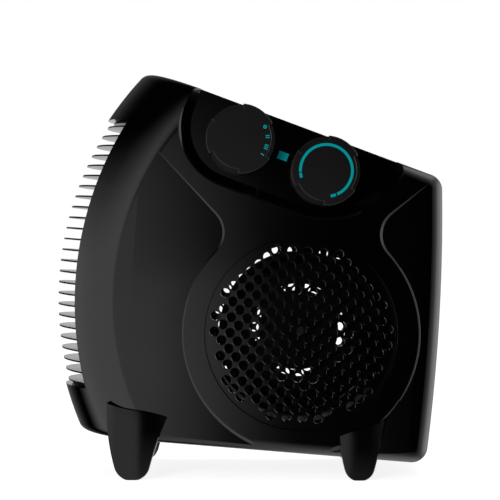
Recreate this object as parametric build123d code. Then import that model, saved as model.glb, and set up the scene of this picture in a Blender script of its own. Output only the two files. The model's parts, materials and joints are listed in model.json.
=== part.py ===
from build123d import *
import math
import os

# Fan heater with a ceramic element. It stands tilted on four feet or lies on its plain side.
# Sizes are in millimetres and degrees. Body frame: X runs from the outlet to the back, Y across,
# Z up from the base line; its zero lies on the base line below the blower's axis.
# The finished body is tilted onto its feet: outlet to -X, controls to -Y.

# Case
BODY_WIDTH = 115.0
FACE_WALL = 3.2
RIM_WALL = 2.4
EDGE_RADIUS = 7.5
BACK_CORNER = 10.5
TILT = 4.6
BASE_HEIGHT = 17.3
AXIS_HEIGHT = 77.8
TOP_HEIGHT = 209.0
TOP_SLOPE = 15.9
BACK_LENGTH = 87.5
BACK_LEAN = 4.1
BACK_BULGE = 3.6
NOSE_BACK = 51.2
NOSE_HEIGHT = 103.3
NOSE_RADIUS = 218.3
NOSE_DEPTH = 46.5
FRONT_EDGE_BACK = 75.7
FRONT_EDGE_RADIUS = 224.9
SHADOW_GAP = 0.3

# Shallow hollows in the side faces, left and right of the raised middle
RING_RADIUS = 76.0
WAIST_SLOPE = 42.0
FRONT_WAIST_RISE = 19.0
BACK_WAIST_RISE = 36.3
WAIST_RADIUS = 18.0
HOLLOW_DEPTH = 0.7
HOLLOW_WAIST = 50.0
HOLLOW_FRONT_END = 112.0
HOLLOW_BACK_END = 75.0
HOLLOW_DRAFT = 65.0

# Outlet
OUTLET_LOW = 30.2
OUTLET_HIGH = 208.4
FIN_COUNT = 25
FIN_LOW = 33.2
FIN_HIGH = 203.5
FIN_THICKNESS = 1.1
FIN_SETBACK = 2.5
FIN_ROOT = 190.0
RAIL_WIDTH = 7.0
RAIL_INSIDE = 34.0
RIB_OFFSET = 14.0
RIB_THICKNESS = 1.6
BAR_THICKNESS = 2.0
BAR_SETBACK = 4.5
FRAME_GAP = 0.3

# Inlet grilles
GRILLE_RADIUS = 62.3
GRILLE_THICKNESS = 2.4
GRILLE_LINE = 1.9
LINE_WIDTH = 0.5
LINE_DEPTH = 0.6
HOLE_RADIUS = 2.9
HOLE_EDGE = 0.35
HOLE_PITCH = 7.2
HOLES_RISE = 2.1
LEDGE_WIDTH = 2.0
LEDGE_THICKNESS = 2.4
LEDGE_BACKING = 3.6

# Control panel and knobs
KNOB_INSET = 22.3
KNOB_SPACING = 58.4
PANEL_BACK = -20.7
RECESS_FRONT_END = 71.5
RECESS_BACK_END = 77.0
RECESS_DROP = 32.0
RECESS_FRONT_CORNER = 40.0
RECESS_BACK_CORNER = 55.0
RECESS_BAND = 6.5
RECESS_DEPTH = 9.0
RECESS_RISE = 60.0
RECESS_EDGE = 0.8
PANEL_THICKNESS = 2.5
PANEL_DROP = 0.6
PANEL_GAP = 0.15
KNOB_RADIUS = 22.4
KNOB_LEDGE_RADIUS = 21.9
KNOB_FACE_RADIUS = 19.7
KNOB_LEDGE_DROP = 3.0
KNOB_PROUD = 10.0
KNOB_FLOAT = 0.4
KNOB_ROOF = 3.0
KNOB_BORE_WALL = 2.5
KNOB_HOLLOW = 18.0
KNOB_EDGE = 0.5
LOBE_COUNT = 3
LOBE_ANGLE = 60.0
SPINDLE_RADIUS = 3.0
SPINDLE_FIT = 0.04
BUSH_RADIUS = 4.8
BUSH_GAP = 0.2
SWITCH_SIZE = 29.0
SWITCH_DEPTH = 20.0
THERMOSTAT_SIZE = 26.0
THERMOSTAT_DEPTH = 16.0
STRIP_LENGTH = 36.0
STRIP_WIDTH = 7.0
STRIP_THICKNESS = 0.8
LENS_LENGTH = 6.6
LENS_HEIGHT = 5.0
LENS_PROUD = 0.5
LENS_BANDS = 3
LENS_GROOVE = 0.5
LENS_GAP = 0.15
LENS_FLANGE = 1.3
LAMP_RADIUS = 2.6
LAMP_LENGTH = 11.0

# Feet, each in the ground frame: centre along the ground, then corners from that centre
FRONT_FOOT_AT = -103.1
FRONT_FOOT_RADIUS = 11.8
FRONT_FOOT_SCREW = 36.0
REAR_FOOT_AT = 44.1
REAR_FOOT_RADIUS = 9.9
REAR_FOOT_SCREW = 24.0
FOOT_SEAT = 9.0
FOOT_PROUD = 0.4
FOOT_CROWN = 160.0
FOOT_GAP = 0.25
FOOT_FLAT = 0.6
FOOT_EDGE = 0.5
FOOT_SWEEP = 75.0
FOOT_SCREW_RADIUS = 1.5
FOOT_SCREW_HEAD = 3.4
FOOT_SCREW_BITE = 5.0
FOOT_HEAD_HEIGHT = 2.0

# Case screws and rest pads
BOSS_RADIUS = 4.6
WELL_RADIUS = 4.4
WELL_WALL = 1.8
WELL_SEAT = 5.0
SCREW_RADIUS = 1.6
SCREW_HEAD_RADIUS = 4.0
SCREW_HEAD_HEIGHT = 3.0
SCREW_BITE = 14.0
SCREW_GAP = 0.05
SCREW_HOLE_GAP = 0.5
PAD_RADIUS = 5.5
PAD_HEIGHT = 2.5

# Blower
SCROLL_STEP = 0.5
SCROLL_GROWTH = 4.8
SCROLL_WALL = 2.0
TONGUE_RADIUS = 4.0
COLLAR_INSET = 1.3
INLET_LIP = 2.8
IMPELLER_GAP = 4.7
BLADE_LENGTH = 10.5
BLADE_THICKNESS = 1.1
BLADE_COUNT = 36
BLADE_PITCH = 35.0
IMPELLER_HALF = 36.0
RIM_RING = 3.0
RIM_THICKNESS = 2.0
DISC_THICKNESS = 2.4
WINDOW_INNER = 27.0
WINDOW_OUTER = 31.5
WINDOW_COUNT = 4
WINDOW_TURN = 45.0
SPOKE_WIDTH = 20.0
HUB_RADIUS = 7.0
HUB_LENGTH = 9.0
NUT_SIZE = 10.0
NUT_HEIGHT = 4.0

# Motor
MOTOR_RADIUS = 23.0
MOTOR_LENGTH = 38.0
CAP_PLATE = 2.2
CAP_RIM = 5.0
CAP_WALL = 2.5
SHAFT_RADIUS = 3.0
SHAFT_FIT = 0.03
BEARING_RADIUS = 5.2
BEARING_LENGTH = 5.0
BEARING_WALL = 2.2
STATOR_BORE = 13.4
ROTOR_GAP = 0.4
WINDING_INNER = 14.5
WINDING_OUTER = 18.2
WINDING_LENGTH = 4.4
BOLT_CIRCLE = 20.4
BOLT_RADIUS = 1.5
BOLT_GAP = 0.1
BOLT_HEAD = 2.6
BOLT_HEAD_HEIGHT = 1.8
BRACKET_THICKNESS = 3.6
BRACKET_ARM = 7.0
BRACKET_HOLE = 8.0

# Heater
HEATER_FRONT = -118.5
HEATER_THICKNESS = 15.0
HEATER_LOW = 43.0
HEATER_HEIGHT = 134.0
HEATER_WIDTH = 80.0
HEATER_GAP = 0.3
HEATER_BAR = 8.0
CROSS_BAR = 6.0
CROSS_BAR_DROP = 8.0
STONE_COLUMNS = 4
STONE_ROWS = 5
STONE_THICKNESS = 2.8
STONE_GAP = 1.0
ELEMENT_THICKNESS = 11.0
FIN_FOLDS = 32
FOLD_SHEET = 1.6
CUTOUT_RADIUS = 7.0
CUTOUT_HEIGHT = 5.0
FUSE_RADIUS = 2.0
FUSE_LENGTH = 12.0
SAFETY_OFFSET = 17.0

# Wiring pieces
BLOCK_LENGTH = 28.0
BLOCK_HEIGHT = 14.0
BLOCK_DEPTH = 11.0
BLOCK_BACK = 59.0
BLOCK_UP = 152.0
TERMINAL_COUNT = 3
TERMINAL_RADIUS = 1.8
TERMINAL_HEIGHT = 1.5
GLAND_HEIGHT = 65.0
GLAND_FLANGE = 8.0
GLAND_NECK = 5.5
GLAND_BORE = 3.5
GLAND_PLATE = 2.8
GLAND_GAP = 0.2

# Places set by two numbers each, along and up in the body frame
BOSS_PLACES = [(-99.0, 219.5), (69.0, 172.0), (73.5, 19.0), (-95.5, 31.5)]
PAD_PLACES = [(-48.0, 195.0), (42.0, 176.0), (-40.0, 20.5), (65.5, 53.7)]
FRONT_FOOT_CORNERS = [(-16.1, 50.4), (3.0, 45.8), (22.8, 41.1)]
REAR_FOOT_CORNERS = [(-13.4, 29.0), (2.0, 34.0), (16.9, 40.7)]

HALF = BODY_WIDTH / 2
INNER_FACE = HALF - FACE_WALL
GRILLE_SEAT = HALF - GRILLE_THICKNESS
LEDGE_BACK = GRILLE_SEAT - LEDGE_THICKNESS
PANEL_FACE = HALF - RECESS_DEPTH
PANEL_BACK_FACE = PANEL_FACE - PANEL_THICKNESS
FLOOR_BACK = PANEL_BACK_FACE - RIM_WALL
FOOT_BACK = HALF - FOOT_SEAT
COLLAR_RADIUS = GRILLE_RADIUS - COLLAR_INSET
INLET_RADIUS = COLLAR_RADIUS - INLET_LIP
IMPELLER_RADIUS = INLET_RADIUS - IMPELLER_GAP
SCROLL_START = COLLAR_RADIUS + SCROLL_STEP
SCROLL_INSIDE = HEATER_WIDTH / 2 + HEATER_GAP
SCROLL_OUTSIDE = SCROLL_INSIDE + SCROLL_WALL
MOTOR_REAR = SCROLL_OUTSIDE
MOTOR_FRONT = MOTOR_REAR - MOTOR_LENGTH
HEATER_BACK = HEATER_FRONT + HEATER_THICKNESS
HEATER_HIGH = HEATER_LOW + HEATER_HEIGHT
KNOB_FACE = HALF + KNOB_PROUD
KNOB_UNDER = PANEL_FACE + KNOB_FLOAT
CREASE_RADIUS = NOSE_RADIUS - NOSE_DEPTH
FAR = 400.0

STAND = Pos(0, 0, BASE_HEIGHT) * Rot(0, TILT, 0)
TO_BODY = STAND.inverse()


def across(sketch, low, high):
    """A side-view sketch as a prism between two positions across the body."""
    return extrude(Pos(0, high, 0) * (Plane.XZ * sketch), amount=high - low)


def rod(x, z, radius, low, high):
    """A round rod that lies across the body."""
    return across(Pos(x, z) * Circle(radius), low, high)


def pipe(x, z, outer, inner, low, high):
    """A tube that lies across the body."""
    return across(Pos(x, z) * (Circle(outer) - Circle(inner)), low, high)


def axis_rod(radius, low, high):
    """A rod on the blower's axis."""
    return rod(0, AXIS_HEIGHT, radius, low, high)


def axis_pipe(outer, inner, low, high):
    """A tube on the blower's axis."""
    return pipe(0, AXIS_HEIGHT, outer, inner, low, high)


def lengthwise(z, radius, low, high):
    """A rod in the middle plane that runs from front to back."""
    return Pos(low, 0, 0) * extrude(Plane.YZ * (Pos(0, z) * Circle(radius)), amount=high - low)


def block(x_low, x_high, y_low, y_high, z_low, z_high):
    """A box between its six faces."""
    size = Box(x_high - x_low, y_high - y_low, z_high - z_low)
    return Pos((x_low + x_high) / 2, (y_low + y_high) / 2, (z_low + z_high) / 2) * size


def other_side(shape):
    """The same piece on the plain side."""
    return mirror(shape, about=Plane.XZ)


def top_at(x):
    """Height of the top line."""
    return TOP_HEIGHT - x * math.tan(math.radians(TOP_SLOPE))


def back_edge():
    """The bulged back line, from the base up to the top line."""
    low = (BACK_LENGTH, 0)
    high_x = BACK_LENGTH - BACK_LEAN
    high = (high_x, top_at(high_x))
    middle = ((low[0] + high[0]) / 2 + BACK_BULGE, (low[1] + high[1]) / 2)
    return ThreePointArc(low, middle, high)


def back_at(z):
    """Position of the back line at a height."""
    edge = back_edge()
    center = edge.arc_center
    return center.X + math.sqrt(edge.radius ** 2 - (z - center.Y) ** 2)


def side_outline(inset):
    """The case in side view, open past the nose."""
    left = NOSE_BACK - NOSE_RADIUS - BASE_HEIGHT
    back = back_edge()
    high = back @ 1
    lines = [
        Line((left, 0), back @ 0),
        back,
        Line(high, (left, top_at(left))),
        Line((left, top_at(left)), (left, 0)),
    ]
    outline = make_face(lines)
    if inset > 0:
        outline = offset(outline, -inset, kind=Kind.INTERSECTION)
    return fillet(outline.vertices().sort_by(Axis.X)[-2:], BACK_CORNER - inset)


def nose_disc(rim_inset, face_inset):
    """The round body that gives the case its curved nose."""
    depth = HALF - face_inset
    outer = NOSE_RADIUS - rim_inset
    bow = EllipticalCenterArc((CREASE_RADIUS, 0), outer - CREASE_RADIUS, depth, -90, arc_size=180)
    lines = [
        Line((0, -depth), (CREASE_RADIUS, -depth)),
        bow,
        Line((CREASE_RADIUS, depth), (0, depth)),
        Line((0, depth), (0, -depth)),
    ]
    return Pos(NOSE_BACK, 0, NOSE_HEIGHT) * revolve(make_face(lines), Axis.Y)


def case_solid(rim_inset, face_inset):
    """The case as a full body, its edges rounded."""
    depth = HALF - face_inset
    body = across(side_outline(rim_inset), -depth, depth) & nose_disc(rim_inset, face_inset)
    edges = []
    for edge in body.edges():
        crease = edge.geom_type == GeomType.CIRCLE and abs(edge.radius - CREASE_RADIUS) < 0.01
        seam = edge.geom_type == GeomType.LINE and edge.length > depth and abs((edge % 0).Y) > 0.99
        if not crease and not seam:
            edges.append(edge)
    return fillet(edges, EDGE_RADIUS - rim_inset)


def nose_band(inner, outer, low, high):
    """Side-view band around the nose centre, on the outlet side, between two heights."""
    ring = Pos(NOSE_BACK, NOSE_HEIGHT) * (Circle(outer) - Circle(inner))
    strip = Pos(NOSE_BACK - FAR / 2, (low + high) / 2) * Rectangle(FAR, high - low)
    return ring & strip


def outlet_window():
    """What the covers leave open between the two lips."""
    middle = (OUTLET_LOW + OUTLET_HIGH) / 2
    strip = Pos(FRONT_EDGE_BACK - FAR / 2, middle) * Rectangle(FAR, OUTLET_HIGH - OUTLET_LOW)
    sketch = strip - Pos(FRONT_EDGE_BACK, NOSE_HEIGHT) * Circle(FRONT_EDGE_RADIUS)
    return across(sketch, -FAR, FAR)


def raised_middle():
    """Side-view outline of the raised middle: a round with a wide V above it."""
    reach = FAR / 2
    rise = reach * math.tan(math.radians(WAIST_SLOPE))
    front = AXIS_HEIGHT + FRONT_WAIST_RISE
    back = AXIS_HEIGHT + BACK_WAIST_RISE
    high = max(front, back) + 2 * rise
    wedge = make_face(Polyline(
        (0, front), (0, back), (reach, back + rise), (reach, high), (-reach, high),
        (-reach, front + rise), close=True))
    shape = Pos(0, AXIS_HEIGHT) * Circle(RING_RADIUS) + wedge
    corners = []
    for vertex in shape.vertices():
        on_ring = abs(math.hypot(vertex.X, vertex.Y - AXIS_HEIGHT) - RING_RADIUS) < 0.01
        if on_ring and vertex.Y > AXIS_HEIGHT + WAIST_RADIUS:
            corners.append(vertex)
    return fillet(corners, WAIST_RADIUS)


def hollow_cut(side, end):
    """One shallow hollow of a side face: deepest at the waist, running out to the edge."""
    strip = Pos(side * FAR / 2, FAR / 4) * Rectangle(FAR, FAR)
    sketch = strip - raised_middle()
    face = side_section(sketch, -HALF)
    well = extrude(face, amount=-(HOLLOW_DEPTH + LINE_DEPTH), taper=HOLLOW_DRAFT)
    well += extrude(face, amount=LINE_DEPTH)
    lean = math.degrees(math.atan2(HOLLOW_DEPTH, end - HOLLOW_WAIST))
    cutter = Pos(0, -FAR / 2, 0) * Box(2 * FAR, FAR, 2 * FAR)
    return well & (Pos(side * end, -HALF, AXIS_HEIGHT) * Rot(0, 0, -side * lean) * cutter)


def foot_outline(radius, corners):
    """A paddle foot in the ground frame, about its own centre."""
    sweep = math.radians(FOOT_SWEEP)
    center = radius - FOOT_FLAT
    join_x = radius * math.sin(sweep)
    join_z = center - radius * math.cos(sweep)
    left, crest, right = corners
    lean = (math.cos(sweep), math.sin(sweep))
    fall = (right[1] - left[1]) / (right[0] - left[0]) / 2
    lines = [
        ThreePointArc((-join_x, join_z), (0, center - radius), (join_x, join_z)),
        TangentArc((join_x, join_z), right, tangent=lean),
        TangentArc(crest, right, tangent=(1, fall)),
        TangentArc(crest, left, tangent=(-1, -fall)),
        TangentArc((-join_x, join_z), left, tangent=(-lean[0], lean[1])),
    ]
    return make_face(lines)


def foot_specs():
    """Centre, outline and screw height of the two feet of one side."""
    front = foot_outline(FRONT_FOOT_RADIUS, FRONT_FOOT_CORNERS)
    rear = foot_outline(REAR_FOOT_RADIUS, REAR_FOOT_CORNERS)
    return [(FRONT_FOOT_AT, front, FRONT_FOOT_SCREW), (REAR_FOOT_AT, rear, REAR_FOOT_SCREW)]


def foot(center, outline, screw):
    """A foot of the control side, in the body frame."""
    crown = HALF + FOOT_PROUD
    solid = across(Pos(center, 0) * outline, -crown, -FOOT_BACK)
    dome = Pos(center, FOOT_CROWN - crown, screw) * Sphere(FOOT_CROWN)
    solid = solid & dome & block(center - FAR, center + FAR, -FAR, FAR, 0, FAR)
    rim = solid.faces().filter_by(GeomType.SPHERE).edges().sort_by(Axis.Z)[1:]
    solid = chamfer(rim, FOOT_EDGE)
    pilot = rod(center, screw, FOOT_SCREW_RADIUS + SCREW_GAP, -FOOT_BACK - FOOT_SCREW_BITE - 1, -FOOT_BACK)
    return TO_BODY * (solid - pilot)


def foot_screw(center, screw):
    """The screw that holds a foot from inside its cover."""
    seat = -FOOT_BACK + RIM_WALL
    shank = rod(center, screw, FOOT_SCREW_RADIUS, -FOOT_BACK - FOOT_SCREW_BITE, seat)
    head = rod(center, screw, FOOT_SCREW_HEAD, seat, seat + FOOT_HEAD_HEIGHT)
    return TO_BODY * (shank + head)


def foot_pocket(center, outline, screw):
    """Wall block and cutter of one foot pocket."""
    seat = -FOOT_BACK + RIM_WALL
    wall = across(Pos(center, 0) * offset(outline, FOOT_GAP + RIM_WALL), -HALF, seat)
    room = across(Pos(center, 0) * offset(outline, FOOT_GAP), -FAR, -FOOT_BACK)
    hole = rod(center, screw, FOOT_SCREW_RADIUS + SCREW_HOLE_GAP, -HALF, seat + 1)
    return TO_BODY * wall, TO_BODY * (room + hole)


def gland_seat():
    """Wall pad and cutter for the cord gland on the back."""
    wall = back_at(GLAND_HEIGHT)
    seat = wall - GLAND_PLATE - GLAND_GAP
    radius = GLAND_FLANGE + 2 * GLAND_GAP
    clear = wall + radius
    pad = lengthwise(GLAND_HEIGHT, radius + RIM_WALL, seat - RIM_WALL, clear)
    cup = lengthwise(GLAND_HEIGHT, radius, seat, clear)
    return pad, cup + lengthwise(GLAND_HEIGHT, GLAND_NECK + GLAND_GAP, seat - 2 * RIM_WALL, clear)


def panel_place():
    """Side-view place of the panel: halfway between the knobs, along the top line."""
    drop = KNOB_INSET / math.cos(math.radians(TOP_SLOPE))
    return Pos(PANEL_BACK, top_at(PANEL_BACK) - drop) * Rot(0, 0, -TOP_SLOPE)


def knob_place(side):
    """Along and up of a knob's axis."""
    spot = (panel_place() * Pos(side * KNOB_SPACING / 2, 0)).position
    return spot.X, spot.Y


def recess_outline(inset, rise):
    """The recess for the panel, drawn in the panel's own place, its top at a rise."""
    low = inset - RECESS_DROP
    front = inset - RECESS_FRONT_END
    back = RECESS_BACK_END - inset
    sheet = Pos((front + back) / 2, (RECESS_RISE + low) / 2) * Rectangle(back - front, RECESS_RISE - low)
    sheet = fillet(sheet.vertices().group_by(Axis.X)[-1].sort_by(Axis.Y)[0], RECESS_BACK_CORNER - inset)
    sheet = fillet(sheet.vertices().group_by(Axis.X)[0].sort_by(Axis.Y)[0], RECESS_FRONT_CORNER - inset)
    if rise < RECESS_RISE:
        sheet = sheet & (Pos(0, rise - FAR / 2) * Rectangle(2 * FAR, FAR))
    return panel_place() * sheet


def side_section(sketch, y):
    """A side-view sketch laid at a position across the body."""
    return Pos(0, y, 0) * (Plane.XZ * sketch)


def recess():
    """Wall block and cutter of the panel's recess."""
    over = RECESS_BAND / RECESS_DEPTH
    cut = loft([
        side_section(recess_outline(-over, RECESS_RISE), -HALF - 1),
        side_section(recess_outline(RECESS_BAND, RECESS_RISE), -PANEL_FACE)], ruled=True)
    cut += across(recess_outline(RECESS_BAND, RECESS_RISE), -PANEL_FACE, -PANEL_BACK_FACE)
    cut += loft([
        side_section(recess_outline(-RECESS_EDGE - 1 - over, RECESS_RISE), -HALF - 1),
        side_section(recess_outline(RECESS_EDGE * over, RECESS_RISE), -HALF + RECESS_EDGE)], ruled=True)
    wall = loft([
        side_section(recess_outline(-RIM_WALL, RECESS_RISE), -HALF),
        side_section(recess_outline(RECESS_BAND - RIM_WALL, RECESS_RISE), -FLOOR_BACK)], ruled=True)
    return wall, cut


def panel_holes(gap):
    """Holes for the two bushes and the lens, through panel and floor."""
    window = panel_place() * Rectangle(LENS_LENGTH + 2 * gap, LENS_HEIGHT + 2 * gap)
    holes = across(window, -HALF, -FLOOR_BACK + 1)
    for side in (-1, 1):
        x, z = knob_place(side)
        holes += rod(x, z, BUSH_RADIUS + BUSH_GAP, -HALF, -FLOOR_BACK + 1)
    return holes


def cover_half(outer):
    """What both covers share, built on the control side."""
    near = block(-FAR, FAR, -FAR, 0, -FAR, FAR)
    shell = (outer - case_solid(RIM_WALL, FACE_WALL)) & near
    outer = outer & near
    pad, gland_cut = gland_seat()
    inside = axis_rod(GRILLE_RADIUS + LEDGE_BACKING, -HALF, -LEDGE_BACK) + pad
    cuts = axis_rod(GRILLE_RADIUS - LEDGE_WIDTH, -FAR, -LEDGE_BACK + 1) + gland_cut
    cuts += axis_rod(GRILLE_RADIUS + SHADOW_GAP, -FAR, -GRILLE_SEAT)
    for center, outline, screw in foot_specs():
        wall, room = foot_pocket(center, outline, screw)
        inside += wall
        cuts += room
    for low in (OUTLET_LOW - RIM_WALL, OUTLET_HIGH):
        inside += across(nose_band(FIN_ROOT, NOSE_RADIUS, low, low + RIM_WALL), -HALF, 0)
    half = shell + (inside & outer)
    half = half - outlet_window() - cuts
    return half - hollow_cut(-1, HOLLOW_FRONT_END) - hollow_cut(1, HOLLOW_BACK_END)


def control_cover(half, outer, core):
    """The near cover: panel recess and solid screw bosses that end inside its wall."""
    wall, cut = recess()
    cover = half + (wall & outer & block(-FAR, FAR, -FAR, 0, -FAR, FAR))
    for x, z in BOSS_PLACES:
        cover += rod(x, z, BOSS_RADIUS, -HALF, 0) & core
    cover = cover - cut - panel_holes(LENS_GAP)
    for x, z in BOSS_PLACES:
        cover -= rod(x, z, SCREW_RADIUS + SCREW_GAP, -SCREW_BITE - 1, 0)
    return cover


def plain_cover(half, core):
    """The far cover: deep wells for the case screws."""
    cover = other_side(half)
    for x, z in BOSS_PLACES:
        cover += rod(x, z, WELL_RADIUS + WELL_WALL, 0, HALF) & core
    for x, z in BOSS_PLACES:
        cover -= rod(x, z, WELL_RADIUS, WELL_SEAT, FAR)
        cover -= rod(x, z, SCREW_RADIUS + SCREW_HOLE_GAP, 0, WELL_SEAT)
    return cover


def case_screws():
    """Screws that pull the two covers together."""
    screws = []
    for x, z in BOSS_PLACES:
        head = rod(x, z, SCREW_HEAD_RADIUS, WELL_SEAT, WELL_SEAT + SCREW_HEAD_HEIGHT)
        screws.append(head + rod(x, z, SCREW_RADIUS, -SCREW_BITE, WELL_SEAT))
    return Compound(screws)


def rest_pads():
    """Rubber pads on the plain side."""
    return Compound([rod(x, z, PAD_RADIUS, HALF, HALF + PAD_HEIGHT) for x, z in PAD_PLACES])


def inlet_grille():
    """A perforated disc on the control side, its edges chamfered, with a fine line near its rim."""
    reach = GRILLE_RADIUS - LEDGE_WIDTH - HOLE_RADIUS - HOLE_EDGE
    step = HOLE_PITCH / math.sqrt(2)
    count = int((reach + abs(HOLES_RISE)) / step) + 1
    holes = []
    for row in range(-count, count + 1):
        for column in range(-count, count + 1):
            even = (row + column) % 2 == 0
            spot = (column * step, row * step + HOLES_RISE)
            if even and math.hypot(*spot) < reach:
                holes.append(Pos(*spot) * Circle(HOLE_RADIUS))
    sheet = Circle(GRILLE_RADIUS) - holes
    disc = across(Pos(0, AXIS_HEIGHT) * sheet, -HALF, -GRILLE_SEAT)
    disc = chamfer(disc.faces().sort_by(Axis.Y)[0].edges(), HOLE_EDGE)
    line = GRILLE_RADIUS - GRILLE_LINE
    return disc - axis_pipe(line + LINE_WIDTH, line, -HALF, -HALF + LINE_DEPTH)


def outlet_grille():
    """Level fins along the nose, tied by rails and ribs behind them."""
    reach = NOSE_RADIUS - FIN_SETBACK
    low_angle = math.asin((FIN_LOW - NOSE_HEIGHT) / reach)
    high_angle = math.asin((FIN_HIGH - NOSE_HEIGHT) / reach)
    slabs = []
    for number in range(FIN_COUNT):
        angle = low_angle + (high_angle - low_angle) * number / (FIN_COUNT - 1)
        level = NOSE_HEIGHT + reach * math.sin(angle)
        under = level - FIN_THICKNESS / 2
        slabs.append(block(-FAR, NOSE_BACK, -HALF, HALF, under, under + FIN_THICKNESS))
    low = OUTLET_LOW + FRAME_GAP
    high = OUTLET_HIGH - FRAME_GAP
    edge = rod(FRONT_EDGE_BACK, NOSE_HEIGHT, FRONT_EDGE_RADIUS + FRAME_GAP, -FAR, FAR)
    root = rod(NOSE_BACK, NOSE_HEIGHT, FIN_ROOT, -FAR, FAR)
    inner_nose = nose_disc(RIM_WALL + FRAME_GAP, FACE_WALL + FRAME_GAP)
    outside = nose_disc(FIN_SETBACK, 0) - edge
    inside = inner_nose - root
    fins = Part() + slabs
    grille = (fins & outside) + (fins & inside)
    rail_band = nose_band(FIN_ROOT, FIN_ROOT + RAIL_WIDTH, low, high)
    rails = across(rail_band, -HALF, HALF) - block(-FAR, FAR, -RAIL_INSIDE, RAIL_INSIDE, -FAR, FAR)
    grille += rails & inner_nose
    for offset_y in (-RIB_OFFSET, RIB_OFFSET):
        grille += across(rail_band, offset_y - RIB_THICKNESS / 2, offset_y + RIB_THICKNESS / 2)
    bar_nose = nose_disc(BAR_SETBACK, BAR_SETBACK) - root
    for start in (low, high - BAR_THICKNESS):
        grille += block(-FAR, NOSE_BACK, -HALF, HALF, start, start + BAR_THICKNESS) & bar_nose
    return grille


def control_panel():
    """The insert that lies in the recess, its top just under the top line of the case."""
    sheet = recess_outline(RECESS_BAND + PANEL_GAP, KNOB_INSET - PANEL_DROP)
    return across(sheet, -PANEL_FACE, -PANEL_BACK_FACE) - panel_holes(LENS_GAP)


def knob(side):
    """A knob with three full lobes and three stepped sectors."""
    x, z = knob_place(side)
    ledge = KNOB_FACE - KNOB_LEDGE_DROP
    body = rod(x, z, KNOB_LEDGE_RADIUS, -ledge, -KNOB_UNDER)
    body += rod(x, z, KNOB_FACE_RADIUS, -KNOB_FACE, -KNOB_UNDER)
    reach = 2 * KNOB_RADIUS
    half = math.radians(LOBE_ANGLE / 2)
    wedge = make_face(Polyline(
        (0, 0), (reach * math.cos(half), -reach * math.sin(half)),
        (reach * math.cos(half), reach * math.sin(half)), close=True))
    for number in range(LOBE_COUNT):
        turn = LOBE_ANGLE + 360 / LOBE_COUNT * number
        lobe = Circle(KNOB_RADIUS) & (Rot(0, 0, turn) * wedge)
        body += across(Pos(x, z) * lobe, -KNOB_FACE, -KNOB_UNDER)
    body = fillet(body.faces().sort_by(Axis.Y)[0].edges(), KNOB_EDGE)
    bore = SPINDLE_RADIUS + SPINDLE_FIT
    roof = KNOB_FACE - KNOB_ROOF
    body -= pipe(x, z, KNOB_HOLLOW, bore + KNOB_BORE_WALL, -roof, -KNOB_UNDER)
    body -= rod(x, z, bore, -roof, -KNOB_UNDER)
    return body - rod(x, z, bore + KNOB_BORE_WALL, -PANEL_FACE - BUSH_RADIUS / 2, -KNOB_UNDER)


def spindle(side, depth):
    """The spindle that carries a knob into its switch."""
    x, z = knob_place(side)
    return rod(x, z, SPINDLE_RADIUS, -KNOB_FACE + KNOB_ROOF + KNOB_EDGE, -FLOOR_BACK + depth - RIM_WALL)


def control_unit(side, size, depth):
    """A switch or thermostat behind the panel floor, with its bush."""
    x, z = knob_place(side)
    case = across(Pos(x, z) * Rot(0, 0, -TOP_SLOPE) * Rectangle(size, size), -FLOOR_BACK, -FLOOR_BACK + depth)
    case += rod(x, z, BUSH_RADIUS, -PANEL_FACE - KNOB_FLOAT, -FLOOR_BACK)
    return case - rod(x, z, SPINDLE_RADIUS + SPINDLE_FIT, -HALF, -FLOOR_BACK + depth - RIM_WALL)


def thermostat_strip():
    """The bimetal strip on the back of the thermostat."""
    x, z = knob_place(1)
    sheet = Pos(x, z) * Rot(0, 0, -TOP_SLOPE) * Rectangle(STRIP_LENGTH, STRIP_WIDTH)
    back = -FLOOR_BACK + THERMOSTAT_DEPTH
    return across(sheet, back, back + STRIP_THICKNESS)


def pilot_lens():
    """The lens between the knobs, grooved in bands, with a flange behind the floor."""
    face = PANEL_FACE + LENS_PROUD
    lens = across(panel_place() * Rectangle(LENS_LENGTH, LENS_HEIGHT), -face, -FLOOR_BACK)
    for number in range(1, LENS_BANDS):
        level = LENS_HEIGHT * (number / LENS_BANDS - 0.5)
        groove = panel_place() * Pos(0, level) * Rectangle(LENS_LENGTH, LENS_GROOVE)
        lens -= across(groove, -face, -face + LENS_GROOVE)
    sheet = panel_place() * Rectangle(LENS_LENGTH + 2 * LENS_FLANGE, LENS_HEIGHT + 2 * LENS_FLANGE)
    return lens + across(sheet, -FLOOR_BACK, -FLOOR_BACK + LENS_FLANGE)


def pilot_lamp():
    """The small lamp on the back of the lens."""
    start = -FLOOR_BACK + LENS_FLANGE
    spot = panel_place().position
    return rod(spot.X, spot.Y, LAMP_RADIUS, start, start + LAMP_LENGTH)


def scroll_outline():
    """The blower's air way in side view: three growing arcs, then a duct to the heater."""
    first = SCROLL_START
    second = first + SCROLL_GROWTH
    third = second + SCROLL_GROWTH
    level = AXIS_HEIGHT + SCROLL_GROWTH
    tongue = (-first, AXIS_HEIGHT)
    exit_point = (-SCROLL_GROWTH, level + third)
    top = HEATER_HIGH + HEATER_GAP
    low = HEATER_LOW - HEATER_GAP
    seat = HEATER_BACK + SCROLL_WALL
    lines = [
        CenterArc((0, AXIS_HEIGHT), first, 180, 90),
        CenterArc((0, level), second, 270, 90),
        CenterArc((-SCROLL_GROWTH, level), third, 0, 90),
        Polyline(exit_point, (seat, top), (HEATER_FRONT, top), (HEATER_FRONT, low), (seat, low), tongue),
    ]
    face = make_face(lines)
    corner = face.vertices().sort_by_distance((tongue[0], tongue[1], 0))[0]
    return fillet(corner, TONGUE_RADIUS)


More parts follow.
